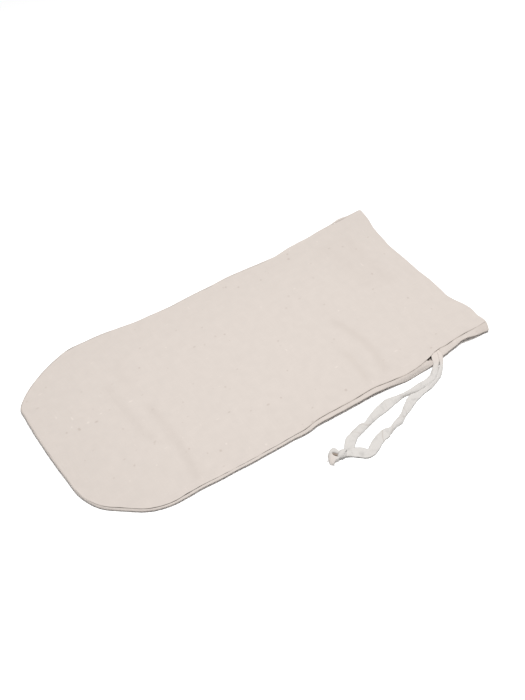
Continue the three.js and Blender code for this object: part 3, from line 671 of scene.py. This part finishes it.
def panel(inside, z, shade, rolled, is_front):
    """A closed sheet inside its outer side, with a rounded mouth edge. The first columns are rolled thin."""
    x, y = on_plan(inside)
    mouth = curve(MOUTH, y)[..., 0 if is_front else 1] - LENGTH
    x = x + mouth * smoothstep(edge_x, LENGTH - MOUTH_RUN, LENGTH)
    outer = np.stack([x, y, z], -1)
    facing = np.cross(np.gradient(outer, axis=0), np.gradient(outer, axis=1)) * (-1 if is_front else 1)
    facing[:, -1] = (0, 0, 1 if is_front else -1)
    facing /= np.maximum(np.linalg.norm(facing, axis=-1), TINY)[..., None]
    cloth = CANVAS + (HEM - CANVAS) * hem + 0 * inside
    thin = np.concatenate([[LIP_CLOTH] * rolled, LIP_GROWTH])
    cloth[:, :len(thin)] = np.minimum(cloth[:, :len(thin)], thin)
    inner = outer - facing * cloth[..., None]
    steps = np.linalg.norm(np.diff(outer, axis=1), axis=-1)
    from_middle = np.hstack([np.cumsum(steps[:, ::-1], 1)[:, ::-1], 0 * steps[:, :1]])
    weave = middle[:, None] - inward[:, None] * from_middle[..., None]

    def cap(row):
        centre, half = (outer[row] + inner[row]) / 2, (outer[row] - inner[row]) / 2
        reach = np.linalg.norm(half, axis=1)[:, None] * np.array([1, 0, 0])
        return [centre + half * math.cos(t) + reach * math.sin(t) for t in CAP_TURNS]

    far_cap, near_cap = np.array(cap(-1)), np.array(cap(0))[::-1]
    grid = np.concatenate([outer, far_cap, inner[::-1], near_cap])
    caps = len(CAP_TURNS)
    far_weave, near_weave = np.repeat(weave[-1:], caps, 0), np.repeat(weave[:1], caps, 0)
    weave = np.concatenate([weave, far_weave, weave[::-1], near_weave])
    rows, columns = grid.shape[:2]
    faces = quads(rows, columns, close_rows=True)
    count = len(outer)
    last = rows - caps - 1  # the inner side of the first spoke
    for j in range(count - 1):
        faces.append([j * columns, (last - j) * columns, (last - j - 1) * columns, (j + 1) * columns])
    faces.append([0] + [j * columns for j in range(rows - 1, last - 1, -1)])
    faces.append([j * columns for j in range(count - 1, count + caps + 1)])
    plain = np.zeros((caps, columns))
    shade = np.concatenate([shade, plain, shade[::-1], plain]).ravel()
    return grid.reshape(-1, 3), faces, weave.reshape(-1, 2), np.column_stack([shade, 0 * shade])


# Materials

def add(tree, kind, inputs=(), **settings):
    """A node with its inputs linked or set, by place or name, and its other settings."""
    made = tree.nodes.new(kind)
    for name, value in settings.items():
        setattr(made, name, value)
    for name, value in dict(inputs).items():
        if isinstance(value, bpy.types.NodeSocket):
            tree.links.new(value, made.inputs[name])
        else:
            made.inputs[name].default_value = value
    return made


def maths(tree, operation, *values):
    return add(tree, "ShaderNodeMath", enumerate(values), operation=operation).outputs[0]


def scaled(tree, uv, across, along):
    return add(tree, "ShaderNodeMapping", {"Vector": uv, "Scale": (across, along, 1)}).outputs[0]


def cloth_noise(tree, uv, across, along, detail):
    """Noise with about this many lumps to a metre across and along."""
    place = scaled(tree, uv, across, along)
    return add(tree, "ShaderNodeTexNoise", {"Vector": place, "Scale": 1.0, "Detail": detail})


def between(tree, value, low, high):
    """0 below low and 1 above high, smoothly."""
    limits = {"Value": value, "From Min": low, "From Max": high}
    return add(tree, "ShaderNodeMapRange", limits, interpolation_type="SMOOTHSTEP").outputs[0]


def times(colour, share):
    """A colour made lighter or darker."""
    return (*[channel * share for channel in colour], 1)


def tinted(tree, colour, tint, amount):
    """A colour mixed with a tint, from none of it at 0 to all of it at 1."""
    return add(tree, "ShaderNodeMix", [(0, amount), (6, colour), (7, tint)], data_type="RGBA").outputs[2]


def plain_weave(tree, uv, pitch):
    """Height of a plain weave with this pitch."""
    place = scaled(tree, uv, 1 / pitch, 1 / pitch)
    split = add(tree, "ShaderNodeSeparateXYZ", {"Vector": place})
    u, v = split.outputs[0], split.outputs[1]
    over = maths(tree, "ABSOLUTE", maths(tree, "SINE", maths(tree, "MULTIPLY", u, math.pi)))
    under = maths(tree, "ABSOLUTE", maths(tree, "SINE", maths(tree, "MULTIPLY", v, math.pi)))
    checks = add(tree, "ShaderNodeTexChecker", {"Vector": place, "Scale": 1.0})
    top = maths(tree, "MULTIPLY", over, maths(tree, "MULTIPLY_ADD", under, *THREAD_DIP))
    low = maths(tree, "MULTIPLY", under, maths(tree, "MULTIPLY_ADD", over, *THREAD_DIP))
    return add(tree, "ShaderNodeMix", [(0, checks.outputs["Fac"]), (2, top), (3, low)]).outputs[0]


def spots(tree, uv, across, along, size, share):
    """Scattered marks: up to 1 on a mark and 0 elsewhere."""
    place = scaled(tree, uv, 1 / across, 1 / along)
    cells = add(tree, "ShaderNodeTexVoronoi", {"Vector": place, "Scale": 1.0})
    chance = add(tree, "ShaderNodeSeparateColor", {"Color": cells.outputs["Color"]})
    shown = maths(tree, "GREATER_THAN", chance.outputs[0], 1 - share)
    reach = maths(tree, "MULTIPLY_ADD", chance.outputs[1], *[size * share for share in MARK_SIZES])
    away = maths(tree, "DIVIDE", cells.outputs["Distance"], reach)
    near = maths(tree, "SUBTRACT", 1, between(tree, away, *MARK_RIM))
    strength = maths(tree, "MULTIPLY_ADD", chance.outputs[2], *MARK_STRENGTHS)
    return maths(tree, "MULTIPLY", near, maths(tree, "MULTIPLY", shown, strength))


def all_spots(tree, uv, rows):
    """The strongest of several scatters of marks at each place."""
    strongest = spots(tree, uv, *rows[0])
    for row in rows[1:]:
        strongest = maths(tree, "MAXIMUM", strongest, spots(tree, uv, *row))
    return strongest


def new_material(name):
    """A material, its tree and shader, and the weave's and the shade's coordinates."""
    material = bpy.data.materials.new(name)
    material.use_nodes = True
    tree = material.node_tree
    shader = tree.nodes["Principled BSDF"]
    shader.inputs["Specular IOR Level"].default_value = 0.25
    shader.inputs["Sheen Weight"].default_value = 0.12
    shader.inputs["Sheen Roughness"].default_value = 0.6
    uv = add(tree, "ShaderNodeUVMap", uv_map="weave").outputs[0]
    shade = add(tree, "ShaderNodeUVMap", uv_map="shade").outputs[0]
    return material, tree, shader, uv, add(tree, "ShaderNodeSeparateXYZ", {"Vector": shade}).outputs


def canvas_material():
    material, tree, shader, uv, shade = new_material("canvas")
    stray = cloth_noise(tree, uv, *STRAY_NOISE).outputs["Color"]
    reach = (THREAD_STRAY, THREAD_STRAY, 0)
    bent = add(tree, "ShaderNodeVectorMath", [(0, stray), (1, reach)], operation="MULTIPLY").outputs[0]
    uv = add(tree, "ShaderNodeVectorMath", [(0, uv), (1, bent)], operation="ADD").outputs[0]
    threads = plain_weave(tree, uv, CANVAS_PITCH)
    warp = maths(tree, "MULTIPLY", cloth_noise(tree, uv, *WARP_NOISE).outputs[0], 0.5)
    weft = maths(tree, "MULTIPLY", cloth_noise(tree, uv, *WEFT_NOISE).outputs[0], 0.5)
    lean = maths(tree, "ADD", warp, weft)
    cloudy = maths(tree, "MULTIPLY", cloth_noise(tree, uv, *CLOUDY_NOISE).outputs[0], CLOUDY_DEPTH)
    mottle = cloth_noise(tree, uv, *MOTTLE_NOISE).outputs[0]
    mottle = maths(tree, "MULTIPLY_ADD", mottle, *MOTTLE_RANGE)
    slubs = all_spots(tree, uv, SLUBS)
    flecks = maths(tree, "MULTIPLY", all_spots(tree, uv, FLECKS), FLECK_DEPTH)
    dark, pale = [times(CANVAS_COLOUR, share) for share in CANVAS_THREADS]
    colour = tinted(tree, dark, pale, lean)
    colour = tinted(tree, colour, times(CANVAS_COLOUR, CLOUDY), cloudy)
    colour = tinted(tree, colour, times(CANVAS_COLOUR, MOTTLED), mottle)
    colour = tinted(tree, colour, times(CANVAS_COLOUR, SLUBBED), slubs)
    colour = tinted(tree, colour, (*FLECK_COLOUR, 1), flecks)
    colour = tinted(tree, colour, (*SHADED_COLOUR, 1), shade[0])
    tree.links.new(colour, shader.inputs["Base Color"])
    shader.inputs["Roughness"].default_value = 0.95
    raised = maths(tree, "MULTIPLY_ADD", lean, THREAD_RISE, threads)
    raised = maths(tree, "MULTIPLY_ADD", slubs, SLUB_RISE, raised)
    bump = add(tree, "ShaderNodeBump", {"Strength": 0.35, "Distance": 0.00025, "Height": raised})
    tree.links.new(bump.outputs[0], shader.inputs["Normal"])
    return material


def tape_material():
    material, tree, shader, uv, shade = new_material("tape")
    threads = plain_weave(tree, uv, TAPE_PITCH)
    streak = cloth_noise(tree, uv, *STREAK_NOISE).outputs[0]
    worn = between(tree, cloth_noise(tree, uv, *WORN_NOISE).outputs[0], *WORN_RANGE)
    dark, pale = [times(TAPE_COLOUR, share) for share in TAPE_THREADS]
    colour = tinted(tree, dark, pale, streak)
    colour = tinted(tree, colour, times(TAPE_COLOUR, WORN), worn)
    colour = tinted(tree, colour, times(CANVAS_COLOUR, WARM), shade[0])
    # painted shade in the knot's slit and along the tape's creases
    colour = tinted(tree, colour, (*TAPE_SHADE_COLOUR, 1), shade[1])
    tree.links.new(colour, shader.inputs["Base Color"])
    shader.inputs["Roughness"].default_value = 0.9
    bump = add(tree, "ShaderNodeBump", {"Strength": 0.4, "Distance": 0.0002, "Height": threads})
    tree.links.new(bump.outputs[0], shader.inputs["Normal"])
    return material


def floor_material():
    material = bpy.data.materials.new("floor")
    material.use_nodes = True
    shader = material.node_tree.nodes["Principled BSDF"]
    shader.inputs["Base Color"].default_value = (*FLOOR_COLOUR, 1)
    shader.inputs["Roughness"].default_value = 1
    shader.inputs["Specular IOR Level"].default_value = 0
    return material


# Camera

def facing_back(azimuth, elevation):
    """The direction from what is looked at to the camera."""
    a, e = math.radians(azimuth), math.radians(elevation)
    return Vector((math.sin(a) * math.cos(e), -math.cos(a) * math.cos(e), math.sin(e)))


def turned_along(direction):
    """The turn of a camera or a lamp that points this way."""
    return direction.to_track_quat("-Z", "Y").to_euler()


camera = bpy.data.objects.new("camera", bpy.data.cameras.new("camera"))
bpy.context.scene.collection.objects.link(camera)
camera.data.lens = CAMERA_LENS
camera.data.sensor_width = CAMERA_SENSOR
camera.location = CAMERA
camera.rotation_euler = turned_along(-facing_back(CAMERA_AZIMUTH, CAMERA_ELEVATION))
bpy.context.scene.camera = camera

# Pieces

tape = tape_material()
canvas = canvas_material()

for name, (rows, creases) in STRANDS.items():
    part, line = ribbon(rows, creases)
    make_piece(name.replace("drawstring", "tape"), [part], tape, name)

knot_parts = [knot_turn(*KNOT_TURN), knot_core(), knot_ends(), slit_floor(), *frayed_ends()]
knot = make_piece("tape_knot", knot_parts, tape, "drawstring_knot")

lips = len(LIP_TURNS)
back_rolled = lips + BACK_STEPS + BROW_STEPS + UNDER_STEPS
front_part = panel(*front_section(), lips, True)
back_part = panel(*back_section(), back_rolled, False)
front = make_piece("front_canvas", [front_part], canvas, "front_panel")
back = make_piece("back_canvas", [back_part], canvas, "back_panel")

# Stage and light

corners = [(x * FLOOR_REACH, y * FLOOR_REACH, FLOOR_Z) for x, y in ((-1, -1), (1, -1), (1, 1), (-1, 1))]
floor_mesh = bpy.data.meshes.new("floor")
floor_mesh.from_pydata(corners, [], [(0, 1, 2, 3)])
floor_mesh.materials.append(floor_material())
floor = bpy.data.objects.new("floor", floor_mesh)
bpy.context.scene.collection.objects.link(floor)


def area_light(name, place, size, power):
    light = bpy.data.lights.new(name, "AREA")
    light.size = size
    light.energy = power
    lamp = bpy.data.objects.new(name, light)
    lamp.location = place
    lamp.rotation_euler = turned_along(-Vector(place))
    bpy.context.scene.collection.objects.link(lamp)


area_light("key", *KEY_LIGHT)
world = bpy.data.worlds.new("studio")
bpy.context.scene.world = world
world.use_nodes = True
world.node_tree.nodes["Background"].inputs["Color"].default_value = (1, 1, 1, 1)
world.node_tree.nodes["Background"].inputs["Strength"].default_value = WORLD_STRENGTH
bpy.context.scene.view_settings.view_transform = "Standard"
